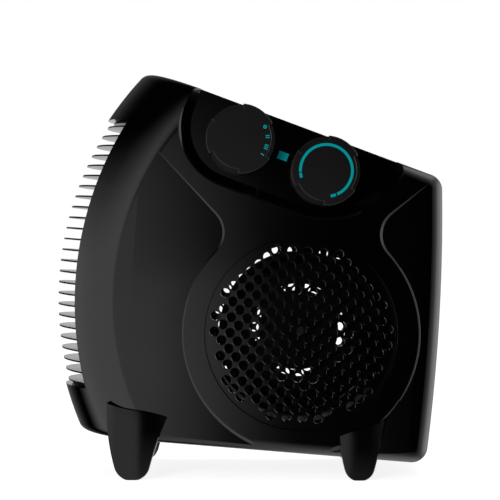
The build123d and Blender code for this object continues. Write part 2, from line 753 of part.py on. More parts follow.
def scroll_half():
    """The control-side half of the blower housing, with its inlet collar."""
    outline = scroll_outline()
    solid = across(offset(outline, SCROLL_WALL), -SCROLL_OUTSIDE, 0) - across(outline, -SCROLL_INSIDE, 0)
    solid -= block(-FAR, HEATER_FRONT, -FAR, FAR, -FAR, FAR)
    collar_end = LEDGE_BACK - FRAME_GAP
    solid += axis_pipe(COLLAR_RADIUS + SCROLL_WALL, COLLAR_RADIUS, -collar_end, -SCROLL_OUTSIDE)
    return solid - axis_rod(INLET_RADIUS, -FAR, 0)


def impeller():
    """Double-inlet blower wheel with windows in its middle disc."""
    inner = IMPELLER_RADIUS - BLADE_LENGTH
    ring = Circle(IMPELLER_RADIUS) - Circle(inner)
    plate = Rectangle(2 * BLADE_LENGTH, BLADE_THICKNESS)
    blade = Pos((IMPELLER_RADIUS + inner) / 2, 0) * Rot(0, 0, BLADE_PITCH) * plate
    blades = []
    for number in range(BLADE_COUNT):
        blades.append((Rot(0, 0, 360 / BLADE_COUNT * number) * blade) & ring)
    place = Pos(0, AXIS_HEIGHT)
    wheel = across(place * (Sketch() + blades), -IMPELLER_HALF, IMPELLER_HALF)
    spokes = Sketch()
    for number in range(WINDOW_COUNT):
        spoke = Pos(WINDOW_OUTER / 2, 0) * Rectangle(WINDOW_OUTER, SPOKE_WIDTH)
        spokes += Rot(0, 0, WINDOW_TURN + 360 / WINDOW_COUNT * number) * spoke
    windows = Circle(WINDOW_OUTER) - Circle(WINDOW_INNER) - spokes
    disc = Circle(IMPELLER_RADIUS) - windows
    wheel += across(place * disc, -DISC_THICKNESS / 2, DISC_THICKNESS / 2)
    for end in (-IMPELLER_HALF, IMPELLER_HALF - RIM_THICKNESS):
        wheel += axis_pipe(IMPELLER_RADIUS, IMPELLER_RADIUS - RIM_RING, end, end + RIM_THICKNESS)
    wheel += axis_rod(HUB_RADIUS, -HUB_LENGTH, 0)
    return wheel - axis_rod(SHAFT_RADIUS + SHAFT_FIT, -FAR, FAR)


def impeller_nut():
    """The nut that holds the wheel on the shaft."""
    sheet = RegularPolygon(NUT_SIZE / 2, 6) - Circle(SHAFT_RADIUS + SHAFT_FIT)
    return across(Pos(0, AXIS_HEIGHT) * sheet, -HUB_LENGTH - NUT_HEIGHT, -HUB_LENGTH)


def motor_shaft():
    """Shaft from the nut to the rear bearing."""
    return axis_rod(SHAFT_RADIUS, -HUB_LENGTH - NUT_HEIGHT - 1, MOTOR_REAR + 1)


def bolt_holes(gap):
    """The two long bolts or their holes, through the whole motor."""
    end = MOTOR_REAR + BRACKET_THICKNESS
    holes = Part()
    for side in (-1, 1):
        holes += rod(side * BOLT_CIRCLE, AXIS_HEIGHT, BOLT_RADIUS + gap, MOTOR_FRONT, end)
    return holes


def motor_bolts():
    """Long bolts from the bracket to the front cap."""
    start = MOTOR_REAR + BRACKET_THICKNESS
    bolts = []
    for side in (-1, 1):
        shank = rod(side * BOLT_CIRCLE, AXIS_HEIGHT, BOLT_RADIUS, MOTOR_FRONT, start)
        bolts.append(shank + rod(side * BOLT_CIRCLE, AXIS_HEIGHT, BOLT_HEAD, start, start + BOLT_HEAD_HEIGHT))
    return Compound(bolts)


def motor_cap(face, step):
    """An end cap: plate, rim and bearing hub, growing from its outer face along the step."""
    def span(start, end):
        return min(face + step * start, face + step * end), max(face + step * start, face + step * end)
    cap = axis_rod(MOTOR_RADIUS, *span(0, CAP_PLATE))
    cap += axis_pipe(MOTOR_RADIUS, MOTOR_RADIUS - CAP_WALL, *span(CAP_PLATE, CAP_PLATE + CAP_RIM))
    cap += axis_rod(BEARING_RADIUS + BEARING_WALL, *span(0, BEARING_LENGTH))
    cap -= axis_rod(BEARING_RADIUS, *span(-1, BEARING_LENGTH + 1))
    return cap - bolt_holes(BOLT_GAP)


def motor_bearings():
    """Plain bearings, one in each cap."""
    front = axis_pipe(BEARING_RADIUS, SHAFT_RADIUS + SHAFT_FIT, MOTOR_FRONT, MOTOR_FRONT + BEARING_LENGTH)
    rear = axis_pipe(BEARING_RADIUS, SHAFT_RADIUS + SHAFT_FIT, MOTOR_REAR - BEARING_LENGTH, MOTOR_REAR)
    return Compound([front, rear])


def stator_span():
    """Where the stator begins and ends across the body."""
    return MOTOR_FRONT + CAP_PLATE + CAP_RIM, MOTOR_REAR - CAP_PLATE - CAP_RIM


def motor_stator():
    """The iron stack between the caps."""
    return axis_pipe(MOTOR_RADIUS, STATOR_BORE, *stator_span()) - bolt_holes(BOLT_GAP)


def motor_windings():
    """End turns on both sides of the stack."""
    low, high = stator_span()
    front = axis_pipe(WINDING_OUTER, WINDING_INNER, low - WINDING_LENGTH, low)
    return Compound([front, axis_pipe(WINDING_OUTER, WINDING_INNER, high, high + WINDING_LENGTH)])


def motor_rotor():
    """The rotor on the shaft."""
    low, high = stator_span()
    return axis_pipe(STATOR_BORE - ROTOR_GAP, SHAFT_RADIUS + SHAFT_FIT, low, high)


def motor_bracket():
    """Three-armed spider that holds the motor in the plain-side inlet."""
    end = MOTOR_REAR + BRACKET_THICKNESS
    outer = COLLAR_RADIUS - FRAME_GAP
    sheet = Circle(MOTOR_RADIUS)
    for number in range(3):
        arm = Pos(outer / 2, 0) * Rectangle(outer, BRACKET_ARM)
        sheet += Rot(0, 0, 90 + 120 * number) * arm
    sheet = (sheet & Circle(outer)) - Circle(BRACKET_HOLE)
    bracket = across(Pos(0, AXIS_HEIGHT) * sheet, MOTOR_REAR, end)
    bracket += axis_pipe(outer, INLET_RADIUS + FRAME_GAP, MOTOR_REAR, LEDGE_BACK - FRAME_GAP)
    return bracket - bolt_holes(BOLT_GAP)


def element_room():
    """Low and high end of the element, and half its width."""
    low = HEATER_LOW + HEATER_BAR
    high = HEATER_HIGH - HEATER_BAR - CROSS_BAR_DROP - CROSS_BAR
    return low, high, HEATER_WIDTH / 2 - HEATER_BAR


def heater_frame():
    """The frame that holds the element in the duct's end."""
    low, high, half = element_room()
    frame = block(HEATER_FRONT, HEATER_BACK, -HEATER_WIDTH / 2, HEATER_WIDTH / 2, HEATER_LOW, HEATER_HIGH)
    frame -= block(-FAR, FAR, -half, half, low, high)
    return frame - block(-FAR, FAR, -half, half, high + CROSS_BAR, HEATER_HIGH - HEATER_BAR)


def element_span():
    """Front and back of the element in its frame."""
    middle = (HEATER_FRONT + HEATER_BACK) / 2
    return middle - ELEMENT_THICKNESS / 2, middle + ELEMENT_THICKNESS / 2


def fin_width():
    """Width of one folded fin between two columns of stones."""
    half = element_room()[2]
    return (2 * half - STONE_COLUMNS * STONE_THICKNESS) / (STONE_COLUMNS + 1)


def ceramic_stones():
    """The heating stones, in columns."""
    low, high, half = element_room()
    front, back = element_span()
    length = (high - low - (STONE_ROWS - 1) * STONE_GAP) / STONE_ROWS
    stones = []
    for column in range(STONE_COLUMNS):
        left = -half + (column + 1) * fin_width() + column * STONE_THICKNESS
        for row in range(STONE_ROWS):
            start = low + row * (length + STONE_GAP)
            stones.append(block(front, back, left, left + STONE_THICKNESS, start, start + length))
    return Compound(stones)


def folded_fin(left):
    """One folded aluminium fin that starts at a position across the body."""
    low, high, half = element_room()
    front, back = element_span()
    fold = (high - low) / FIN_FOLDS
    right = left + fin_width() - FOLD_SHEET
    rising = []
    for number in range(FIN_FOLDS):
        start = low + number * fold
        rising += [(left, start), (right, start + fold / 2)]
    rising.append((left, high))
    returning = [(y + FOLD_SHEET, z) for y, z in reversed(rising)]
    sheet = make_face(Polyline(*rising, *returning, close=True))
    return Pos(front, 0, 0) * extrude(Plane.YZ * sheet, amount=back - front)


def heater_fins():
    """All folded fins of the element."""
    half = element_room()[2]
    step = fin_width() + STONE_THICKNESS
    return Compound([folded_fin(-half + number * step) for number in range(STONE_COLUMNS + 1)])


def cross_bar_middle():
    """Height of the middle of the frame's cross bar."""
    return element_room()[1] + CROSS_BAR / 2


def thermal_cutout():
    """Bimetal disc cutout on the cross bar."""
    spot = Plane.YZ * (Pos(-SAFETY_OFFSET, cross_bar_middle()) * Circle(CUTOUT_RADIUS))
    return Pos(HEATER_BACK, 0, 0) * extrude(spot, amount=CUTOUT_HEIGHT)


def thermal_fuse():
    """One-time fuse on the cross bar."""
    start = SAFETY_OFFSET - FUSE_LENGTH / 2
    return rod(HEATER_BACK + FUSE_RADIUS, cross_bar_middle(), FUSE_RADIUS, start, start + FUSE_LENGTH)


def terminal_block():
    """Where the cord's wires end, on the plain cover."""
    sheet = Pos(BLOCK_BACK, BLOCK_UP) * Rectangle(BLOCK_LENGTH, BLOCK_HEIGHT)
    return across(sheet, INNER_FACE - BLOCK_DEPTH, INNER_FACE)


def terminal_screws():
    """Clamping screws of the terminal block."""
    top = INNER_FACE - BLOCK_DEPTH
    step = BLOCK_LENGTH / TERMINAL_COUNT
    screws = []
    for number in range(TERMINAL_COUNT):
        x = BLOCK_BACK + (number - (TERMINAL_COUNT - 1) / 2) * step
        screws.append(rod(x, BLOCK_UP, TERMINAL_RADIUS, top - TERMINAL_HEIGHT, top))
    return Compound(screws)


def cord_gland():
    """Bush for the cord, held between the two covers."""
    seat = back_at(GLAND_HEIGHT) - GLAND_PLATE - GLAND_GAP
    behind = seat - RIM_WALL - GLAND_GAP
    gland = lengthwise(GLAND_HEIGHT, GLAND_NECK, behind - GLAND_PLATE, seat + GLAND_PLATE)
    gland += lengthwise(GLAND_HEIGHT, GLAND_FLANGE, seat, seat + GLAND_PLATE)
    gland += lengthwise(GLAND_HEIGHT, GLAND_FLANGE, behind - GLAND_PLATE, behind)
    return gland - lengthwise(GLAND_HEIGHT, GLAND_BORE, -FAR, FAR)


def build():
    """Every node in the body frame, by name."""
    outer = case_solid(0, 0)
    core = case_solid(RIM_WALL / 2, FACE_WALL / 2)
    half = cover_half(outer)
    specs = foot_specs()
    front_foot, rear_foot = [foot(*spec) for spec in specs]
    near_screws = [foot_screw(center, screw) for center, outline, screw in specs]
    far_screws = [other_side(screw) for screw in near_screws]
    near_scroll = scroll_half()
    near_grille = inlet_grille()
    return {
        "control_side_cover": control_cover(half, outer, core),
        "plain_side_cover": plain_cover(half, core),
        "case_screws": case_screws(),
        "rest_pads": rest_pads(),
        "control_side_inlet_grille": near_grille,
        "plain_side_inlet_grille": other_side(near_grille),
        "outlet_grille": outlet_grille(),
        "control_panel": control_panel(),
        "selector_knob": knob(-1),
        "selector_spindle": spindle(-1, SWITCH_DEPTH),
        "selector_switch": control_unit(-1, SWITCH_SIZE, SWITCH_DEPTH),
        "thermostat_knob": knob(1),
        "thermostat_spindle": spindle(1, THERMOSTAT_DEPTH),
        "thermostat": control_unit(1, THERMOSTAT_SIZE, THERMOSTAT_DEPTH),
        "thermostat_strip": thermostat_strip(),
        "pilot_lens": pilot_lens(),
        "pilot_lamp": pilot_lamp(),
        "control_side_front_foot": front_foot,
        "control_side_rear_foot": rear_foot,
        "plain_side_front_foot": other_side(front_foot),
        "plain_side_rear_foot": other_side(rear_foot),
        "foot_screws": Compound(near_screws + far_screws),
        "control_side_scroll": near_scroll,
        "plain_side_scroll": other_side(near_scroll),
        "impeller": impeller(),
        "impeller_nut": impeller_nut(),
        "motor_shaft": motor_shaft(),
        "motor_rotor": motor_rotor(),
        "motor_stator": motor_stator(),
        "motor_windings": motor_windings(),
        "motor_front_cap": motor_cap(MOTOR_FRONT, 1),
        "motor_rear_cap": motor_cap(MOTOR_REAR, -1),
        "motor_bearings": motor_bearings(),
        "motor_bolts": motor_bolts(),
        "motor_bracket": motor_bracket(),
        "heater_frame": heater_frame(),
        "ceramic_stones": ceramic_stones(),
        "heater_fins": heater_fins(),
        "thermal_cutout": thermal_cutout(),
        "thermal_fuse": thermal_fuse(),
        "terminal_block": terminal_block(),
        "terminal_screws": terminal_screws(),
        "cord_gland": cord_gland(),
    }


def centering(shapes):
    """The shift that centres the standing heater over the origin."""
    boxes = [shape.bounding_box() for shape in shapes]
    x = (min(box.min.X for box in boxes) + max(box.max.X for box in boxes)) / 2
    y = (min(box.min.Y for box in boxes) + max(box.max.Y for box in boxes)) / 2
    return Pos(-x, -y, 0)


def main():
    """Build, stand, centre and export every node."""
    os.makedirs("parts", exist_ok=True)
    standing = {name: STAND * shape for name, shape in build().items()}
    shift = centering(standing.values())
    print("shift", shift.position)
    for name, shape in standing.items():
        export_step(shift * shape, f"parts/{name}.step")


main()
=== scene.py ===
import json
import logging
import math
from contextlib import contextmanager
from dataclasses import dataclass, field
from enum import Enum
from functools import reduce
from typing import Iterator

import bpy
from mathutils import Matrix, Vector


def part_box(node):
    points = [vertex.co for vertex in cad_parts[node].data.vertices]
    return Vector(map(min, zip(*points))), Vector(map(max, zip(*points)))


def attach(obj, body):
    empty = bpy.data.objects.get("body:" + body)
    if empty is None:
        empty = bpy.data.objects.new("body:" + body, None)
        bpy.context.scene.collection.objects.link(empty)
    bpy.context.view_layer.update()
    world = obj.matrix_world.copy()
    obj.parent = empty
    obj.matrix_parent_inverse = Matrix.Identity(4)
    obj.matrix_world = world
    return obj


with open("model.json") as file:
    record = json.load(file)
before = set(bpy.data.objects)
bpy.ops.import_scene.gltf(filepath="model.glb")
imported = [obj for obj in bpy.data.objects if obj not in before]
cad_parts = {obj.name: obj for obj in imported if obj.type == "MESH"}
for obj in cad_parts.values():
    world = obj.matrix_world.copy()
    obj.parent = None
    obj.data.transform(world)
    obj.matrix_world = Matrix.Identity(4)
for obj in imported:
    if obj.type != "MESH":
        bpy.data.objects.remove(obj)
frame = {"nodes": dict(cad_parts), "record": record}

log = logging.getLogger("fan_heater")

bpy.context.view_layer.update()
MM = 0.001
MERGE = 0.01 * MM
ARC_STEP = 3.0
PATCH_RANGE = (0.3, 0.7)

Colour = tuple[float, float, float]
Point = tuple[float, float, float]
Input = bpy.types.NodeSocket | float


class Body(Enum):
    """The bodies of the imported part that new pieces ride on."""

    CASE = "case"
    SELECTOR = "selector"
    THERMOSTAT = "thermostat_dial"


class Pattern(Enum):
    """What a finish carries besides its colour."""

    MOULDED = "moulded grain"
    BRUSHED = "brushed lines"
    LAYERED = "stacked sheets"
    WOUND = "wound wire"
    FIRED = "fired grain"


# Mesh bench


def deselect_all() -> None:
    """Clear the selection, so that an operator acts on new work only."""
    if bpy.context.object is not None and bpy.context.object.mode != "OBJECT":
        bpy.ops.object.mode_set(mode="OBJECT")
    bpy.ops.object.select_all(action="DESELECT")


def make_active(piece: bpy.types.Object) -> None:
    """Select one piece alone and make it the active one."""
    deselect_all()
    piece.select_set(True)
    bpy.context.view_layer.objects.active = piece


@contextmanager
def editing(piece: bpy.types.Object) -> Iterator[None]:
    """Edit mode on one piece, with all of its mesh selected.

    Args:
        piece: The mesh object to edit.
    """
    make_active(piece)
    bpy.ops.object.mode_set(mode="EDIT")
    bpy.ops.mesh.select_all(action="SELECT")
    yield
    bpy.ops.object.mode_set(mode="OBJECT")


def settle(piece: bpy.types.Object) -> None:
    """Put a piece's place, turn and scale into its mesh."""
    make_active(piece)
    bpy.ops.object.transform_apply(location=True, rotation=True, scale=True)


def apply_bevel(piece: bpy.types.Object, width: float, segments: int, angle: float = 40.0) -> None:
    """Round the sharp edges of a piece.

    Args:
        piece: The mesh object.
        width: Width of the bevel in metres.
        segments: Number of steps over the edge.
        angle: Edges sharper than this many degrees are rounded.
    """
    make_active(piece)
    bevel = piece.modifiers.new("edge", "BEVEL")
    bevel.width = width
    bevel.segments = segments
    bevel.limit_method = "ANGLE"
    bevel.angle_limit = math.radians(angle)
    bevel.harden_normals = False
    bpy.ops.object.modifier_apply(modifier=bevel.name)


def smooth(piece: bpy.types.Object, angle: float = 35.0) -> None:
    """Shade a piece smooth across its shallow edges."""
    make_active(piece)
    bpy.ops.object.shade_smooth_by_angle(angle=math.radians(angle))


# Finishes


def node_group(name: str, inputs: dict[str, float], outputs: list[str]) -> bpy.types.NodeTree:
    """A new shader node group with a vector input, number inputs and number outputs.

    Args:
        name: Name of the group.
        inputs: Default of each number input, by name.
        outputs: Names of the outputs.

    Returns:
        The empty group, with its input and output nodes named "in" and "out".
    """
    group = bpy.data.node_groups.new(name, "ShaderNodeTree")
    group.interface.new_socket("Vector", in_out="INPUT", socket_type="NodeSocketVector")
    for label, value in inputs.items():
        group.interface.new_socket(label, in_out="INPUT", socket_type="NodeSocketFloat").default_value = value
    for label in outputs:
        group.interface.new_socket(label, in_out="OUTPUT", socket_type="NodeSocketFloat")
    group.nodes.new("NodeGroupInput").name = "in"
    group.nodes.new("NodeGroupOutput").name = "out"
    return group


def grain_group() -> bpy.types.NodeTree:
    """Fine pitted texture of a mould, with broad uneven patches."""
    group = node_group("moulded_grain", {"Cells": 2500.0, "Patches": 18.0}, ["Height", "Patch"])
    nodes, links = group.nodes, group.links
    fine = nodes.new("ShaderNodeTexNoise")
    fine.inputs["Detail"].default_value = 2.0
    broad = nodes.new("ShaderNodeTexNoise")
    broad.inputs["Detail"].default_value = 3.0
    links.new(nodes["in"].outputs["Vector"], fine.inputs["Vector"])
    links.new(nodes["in"].outputs["Cells"], fine.inputs["Scale"])
    links.new(nodes["in"].outputs["Vector"], broad.inputs["Vector"])
    links.new(nodes["in"].outputs["Patches"], broad.inputs["Scale"])
    links.new(fine.outputs["Fac"], nodes["out"].inputs["Height"])
    links.new(broad.outputs["Fac"], nodes["out"].inputs["Patch"])
    return group


def line_group() -> bpy.types.NodeTree:
    """Fine parallel lines with uneven strength, for drawn metal, stacks and windings."""
    group = node_group("fine_lines", {"Lines": 900.0, "Unevenness": 3.0}, ["Height", "Patch"])
    nodes, links = group.nodes, group.links
    wave = nodes.new("ShaderNodeTexWave")
    wave.bands_direction = "Y"
    wave.inputs["Detail"].default_value = 2.0
    wave.inputs["Detail Scale"].default_value = 1.5
    broad = nodes.new("ShaderNodeTexNoise")
    broad.inputs["Scale"].default_value = 90.0
    links.new(nodes["in"].outputs["Vector"], wave.inputs["Vector"])
    links.new(nodes["in"].outputs["Lines"], wave.inputs["Scale"])
    links.new(nodes["in"].outputs["Unevenness"], wave.inputs["Distortion"])
    links.new(nodes["in"].outputs["Vector"], broad.inputs["Vector"])
    links.new(wave.outputs["Fac"], nodes["out"].inputs["Height"])
    links.new(broad.outputs["Fac"], nodes["out"].inputs["Patch"])
    return group


@dataclass(frozen=True)
class Finish:
    """One material of the heater."""

    name: str
    colour: Colour
    spread: float = 0.25
    roughness: tuple[float, float] = (0.35, 0.45)
    metallic: float = 0.0
    pattern: Pattern = Pattern.MOULDED
    scale: float = 2500.0
    depth: float = 0.000002
    transmission: float = 0.0
    specular: float = 0.5

    def group_name(self) -> str:
        """The node group that carries this finish's pattern."""
        return "moulded_grain" if self.pattern in (Pattern.MOULDED, Pattern.FIRED) else "fine_lines"

    def make(self) -> bpy.types.Material:
        """Build the material.

        Returns:
            The finished node material.
        """
        material = bpy.data.materials.new(self.name)
        material.use_nodes = True
        nodes, links = material.node_tree.nodes, material.node_tree.links
        shader = nodes["Principled BSDF"]
        shader.inputs["Metallic"].default_value = self.metallic
        shader.inputs["Transmission Weight"].default_value = self.transmission
        shader.inputs["Specular IOR Level"].default_value = self.specular
        place = nodes.new("ShaderNodeTexCoord")
        group = nodes.new("ShaderNodeGroup")
        group.node_tree = bpy.data.node_groups[self.group_name()]
        group.inputs[1].default_value = self.scale
        links.new(place.outputs["Object"], group.inputs["Vector"])
        tone = nodes.new("ShaderNodeMix")
        tone.data_type = "RGBA"
        low, high = 1 - self.spread, 1 + self.spread
        tone.inputs["A"].default_value = (*(c * low for c in self.colour), 1)
        tone.inputs["B"].default_value = (*(c * high for c in self.colour), 1)
        links.new(group.outputs["Patch"], tone.inputs["Factor"])
        links.new(tone.outputs["Result"], shader.inputs["Base Color"])
        rough = nodes.new("ShaderNodeMapRange")
        rough.inputs["From Min"].default_value, rough.inputs["From Max"].default_value = PATCH_RANGE
        rough.inputs["To Min"].default_value, rough.inputs["To Max"].default_value = self.roughness
        links.new(group.outputs["Patch"], rough.inputs["Value"])
        links.new(rough.outputs["Result"], shader.inputs["Roughness"])
        bump = nodes.new("ShaderNodeBump")
        bump.inputs["Strength"].default_value = 1.0
        bump.inputs["Distance"].default_value = self.depth
        links.new(group.outputs["Height"], bump.inputs["Height"])
        links.new(bump.outputs["Normal"], shader.inputs["Normal"])
        return material


FINISHES: dict[str, Finish] = {
    "case_plastic": Finish("satin_black_case", (0.0004, 0.0004, 0.0004), roughness=(0.07, 0.10)),
    "grille_plastic": Finish("satin_black_grille", (0.0004, 0.0004, 0.0004), roughness=(0.07, 0.10)),
    "fin_plastic": Finish("glossy_black_fins", (0.004, 0.004, 0.0042), roughness=(0.10, 0.16), depth=0.000004),
    "panel_plastic": Finish("satin_black_panel", (0.0003, 0.0003, 0.0003), roughness=(0.07, 0.10), specular=0.32),
    "knob_plastic": Finish("satin_black_knob", (0.0019, 0.0019, 0.0020), roughness=(0.20, 0.26), specular=0.42),
    "foot_plastic": Finish("satin_black_foot", (0.0005, 0.0005, 0.0005), roughness=(0.08, 0.12), specular=0.38),
    "inner_plastic": Finish("dark_inner_plastic", (0.001, 0.001, 0.001), roughness=(0.4, 0.5), specular=0.2),
    "wheel_plastic": Finish("black_wheel_plastic", (0.0008, 0.0008, 0.0009), roughness=(0.3, 0.4), specular=0.12),
    "lens_plastic": Finish("teal_print", (0.0, 0.255, 0.275), spread=0.08, roughness=(0.32, 0.40), scale=4000.0,
                           depth=0.000006, specular=0.02),
    "lamp_glass": Finish("lamp_glass", (0.95, 0.80, 0.65), spread=0.05, roughness=(0.02, 0.06), transmission=1.0,
                         depth=0.000002, scale=400.0),
    "pad_rubber": Finish("matt_black_rubber", (0.012, 0.012, 0.012), roughness=(0.75, 0.85), depth=0.00005,
                         scale=1600.0),
    "steel": Finish("zinc_plated_steel", (0.55, 0.55, 0.57), spread=0.1, roughness=(0.26, 0.38), metallic=1.0,
                    pattern=Pattern.BRUSHED, depth=0.000006),
    "blued_steel": Finish("blued_steel", (0.05, 0.05, 0.055), spread=0.15, roughness=(0.32, 0.44), metallic=1.0,
                          pattern=Pattern.BRUSHED, depth=0.000006),
    "iron": Finish("stacked_iron", (0.17, 0.17, 0.18), spread=0.2, roughness=(0.42, 0.55), metallic=1.0,
                   pattern=Pattern.LAYERED, scale=600.0, depth=0.00008),
    "winding_copper": Finish("enamelled_copper", (0.46, 0.17, 0.06), spread=0.2, roughness=(0.22, 0.32),
                             metallic=1.0, pattern=Pattern.WOUND, scale=500.0, depth=0.00015),
    "cap_aluminium": Finish("cast_aluminium", (0.56, 0.56, 0.58), spread=0.1, roughness=(0.4, 0.52), metallic=1.0,
                            scale=1500.0, depth=0.00004),
    "fin_aluminium": Finish("bright_aluminium", (0.72, 0.72, 0.74), spread=0.06, roughness=(0.22, 0.3),
                            metallic=1.0, pattern=Pattern.BRUSHED, depth=0.000006),
    "brass": Finish("plain_brass", (0.66, 0.45, 0.16), spread=0.1, roughness=(0.26, 0.36), metallic=1.0,
                    pattern=Pattern.BRUSHED, depth=0.000006),
    "stone_ceramic": Finish("dark_ceramic", (0.16, 0.15, 0.14), spread=0.2, roughness=(0.7, 0.85),
                            pattern=Pattern.FIRED, scale=1200.0, depth=0.00006),
    "terminal_plastic": Finish("white_terminal_plastic", (0.72, 0.72, 0.69), spread=0.05, roughness=(0.3, 0.4)),
}

# Nodes with a finish of their own instead of their slot's
SPECIAL: dict[str, str] = {"motor_shaft": "blued_steel"}


@dataclass
class Workshop:
    """Makes each finish once and dresses pieces with it."""

    made: dict[str, bpy.types.Material] = field(default_factory=dict)

    def finish(self, slot: str) -> bpy.types.Material:
        """The material of a slot.

        Args:
            slot: Name of the record's material slot.

        Returns:
            The material, made at its first use.
        """
        if slot not in self.made:
            self.made[slot] = FINISHES[slot].make()
        return self.made[slot]

    def dress(self, piece: bpy.types.Object, slot: str) -> None:
        """Give a piece one material all over."""
        piece.data.materials.clear()
        piece.data.materials.append(self.finish(slot))

    def dress_frame(self) -> None:
        """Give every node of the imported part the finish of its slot, or its own."""
        for row in frame["record"]["subparts"]:
            node = frame["nodes"][row["node"]]
            finish = SPECIAL.get(row["node"], row["material_slot"])
            self.dress(node, finish)
            log.info("dressed %s with %s", row["node"], finish)

    def place(self, piece: bpy.types.Object, name: str, slot: str, body: Body) -> bpy.types.Object:
        """Name a finished piece, dress it and let it ride on its body.

        Args:
            piece: The finished mesh object.
            name: Its name in the scene.
            slot: The record's material slot it takes its finish from.
            body: The body that carries it.

        Returns:
            The same piece.
        """
        settle(piece)
        piece.name = name
        piece.data.name = name
        self.dress(piece, slot)
        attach(piece, body.value)
        log.info("placed %s on %s", name, body.value)
        return piece


# Pieces


@dataclass
class DialMarks:
    """Raised print on the face of a knob. Angles run clockwise from the right, as seen by the user."""

    knob: str
    body: Body
    rise: float = 0.08 * MM
    sink: float = 0.25 * MM
    rounding: float = 0.22

    def centre(self) -> Vector:
        """Middle of the knob's face."""
        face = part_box(self.knob)[0].y
        low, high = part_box(self.knob.replace("knob", "spindle"))
        middle = (low + high) / 2
        return Vector((middle.x, face, middle.z))

    def spot(self, centre: Vector, radius: float, angle: float) -> Vector:
        """A place around a centre on the face.

        Args:
            centre: What the radius is measured from.
            radius: Distance from the centre.
            angle: Clockwise angle from the right, in degrees.

        Returns:
            The place in the row frame.
        """
        turn = math.radians(angle)
        return centre + Vector((radius * math.cos(turn), 0, -radius * math.sin(turn)))

    def half_sunk(self) -> Vector:
        """From the face to the middle of the print's thickness."""
        return Vector((0, (self.sink - self.rise) / 2, 0))

    def bar(self, radius: float, angle: float, length: float, width: float) -> bpy.types.Object:
        """A straight bar of print with rounded edges, pointing away from the knob's axis.

        Args:
            radius: Distance of its middle from the knob's axis.
            angle: Clockwise angle of its middle.
            length: Its length.
            width: Its width.

        Returns:
            The bar as a mesh object.
        """
        deselect_all()
        place = self.spot(self.centre(), radius, angle) + self.half_sunk()
        bpy.ops.mesh.primitive_cube_add(size=1, location=place, rotation=(0, math.radians(angle), 0))
        bar = bpy.context.object
        bar.scale = (length, self.sink + self.rise, width)
        settle(bar)
        apply_bevel(bar, min(width, length) * self.rounding, 2)
        return bar

    def arc(self, centre: Vector, radius: float, width: float, start: float, end: float) -> bpy.types.Object:
        """A curved band of print.

        Args:
            centre: Middle of its curve.
            radius: Radius of its middle line.
            width: Its width.
            start: Clockwise angle where it starts.
            end: Clockwise angle where it ends, above start.

        Returns:
            The band as a mesh object.
        """
        deselect_all()
        place = self.spot(centre, radius, start) + self.half_sunk()
        bpy.ops.mesh.primitive_plane_add(size=1, location=place, rotation=(0, math.radians(start), 0))
        band = bpy.context.object
        band.scale = (width, self.sink + self.rise, 1)
        settle(band)
        sweep = end - start
        steps = max(4, int(sweep / ARC_STEP))
        with editing(band):
            bpy.ops.mesh.spin(steps=steps, angle=math.radians(sweep), center=centre, axis=(0, -1, 0))
            bpy.ops.mesh.select_all(action="SELECT")
            if sweep >= 360:
                bpy.ops.mesh.remove_doubles(threshold=MERGE)
            bpy.ops.mesh.normals_make_consistent(inside=False)
        return band

    def join(self, parts: list[bpy.types.Object]) -> bpy.types.Object:
        """Join marks into one piece.

        Args:
            parts: The marks of one knob.

        Returns:
            The joined piece.
        """
        deselect_all()
        for part in parts:
            part.select_set(True)
        bpy.context.view_layer.objects.active = parts[0]
        bpy.ops.object.join()
        piece = bpy.context.object
        smooth(piece)
        return piece


@dataclass
class SelectorMarks(DialMarks):
    """Ring, bars and dashes for off, fan and two heats."""

    knob: str = "selector_knob"
    body: Body = Body.SELECTOR
    radius: float = 17.2 * MM
    stroke: float = 0.75 * MM
    letter: float = 2.6 * MM
    pitch: float = 1.25 * MM
    ring_radius: float = 0.85 * MM
    off_angle: float = -25.7
    settings: tuple[tuple[float, int], ...] = ((-4.0, 2), (18.6, 3), (36.6, 1))

    def build(self, shop: Workshop) -> None:
        """Model the marks and place them.

        Args:
            shop: Where finishes come from.
        """
        parts = [self.off_ring()]
        for angle, count in self.settings:
            parts += self.strokes(angle, count)
        shop.place(self.join(parts), "selector_marks", "lens_plastic", self.body)

    def off_ring(self) -> bpy.types.Object:
        """A small ring for the off setting."""
        middle = self.spot(self.centre(), self.radius, self.off_angle)
        return self.arc(middle, self.ring_radius, self.stroke, 0, 360)

    def strokes(self, angle: float, count: int) -> list[bpy.types.Object]:
        """Short strokes side by side around the dial.

        Args:
            angle: Clockwise angle of their middle.
            count: How many strokes.

        Returns:
            The strokes.
        """
        step = math.degrees(self.pitch / self.radius)
        first = angle - (count - 1) / 2 * step
        return [self.bar(self.radius, first + i * step, self.letter, self.stroke) for i in range(count)]


@dataclass
class ThermostatMarks(DialMarks):
    """The round scale of the thermostat, with a dash at each end."""

    knob: str = "thermostat_knob"
    body: Body = Body.THERMOSTAT
    radius: float = 16.6 * MM
    width: float = 1.75 * MM
    spans: tuple[tuple[float, float], ...] = ((164.0, 175.0), (177.5, 425.5), (429.0, 440.5))

    def build(self, shop: Workshop) -> None:
        """Model the scale and place it.

        Args:
            shop: Where finishes come from.
        """
        parts = [self.arc(self.centre(), self.radius, self.width, start, end) for start, end in self.spans]
        shop.place(self.join(parts), "thermostat_scale", "lens_plastic", self.body)


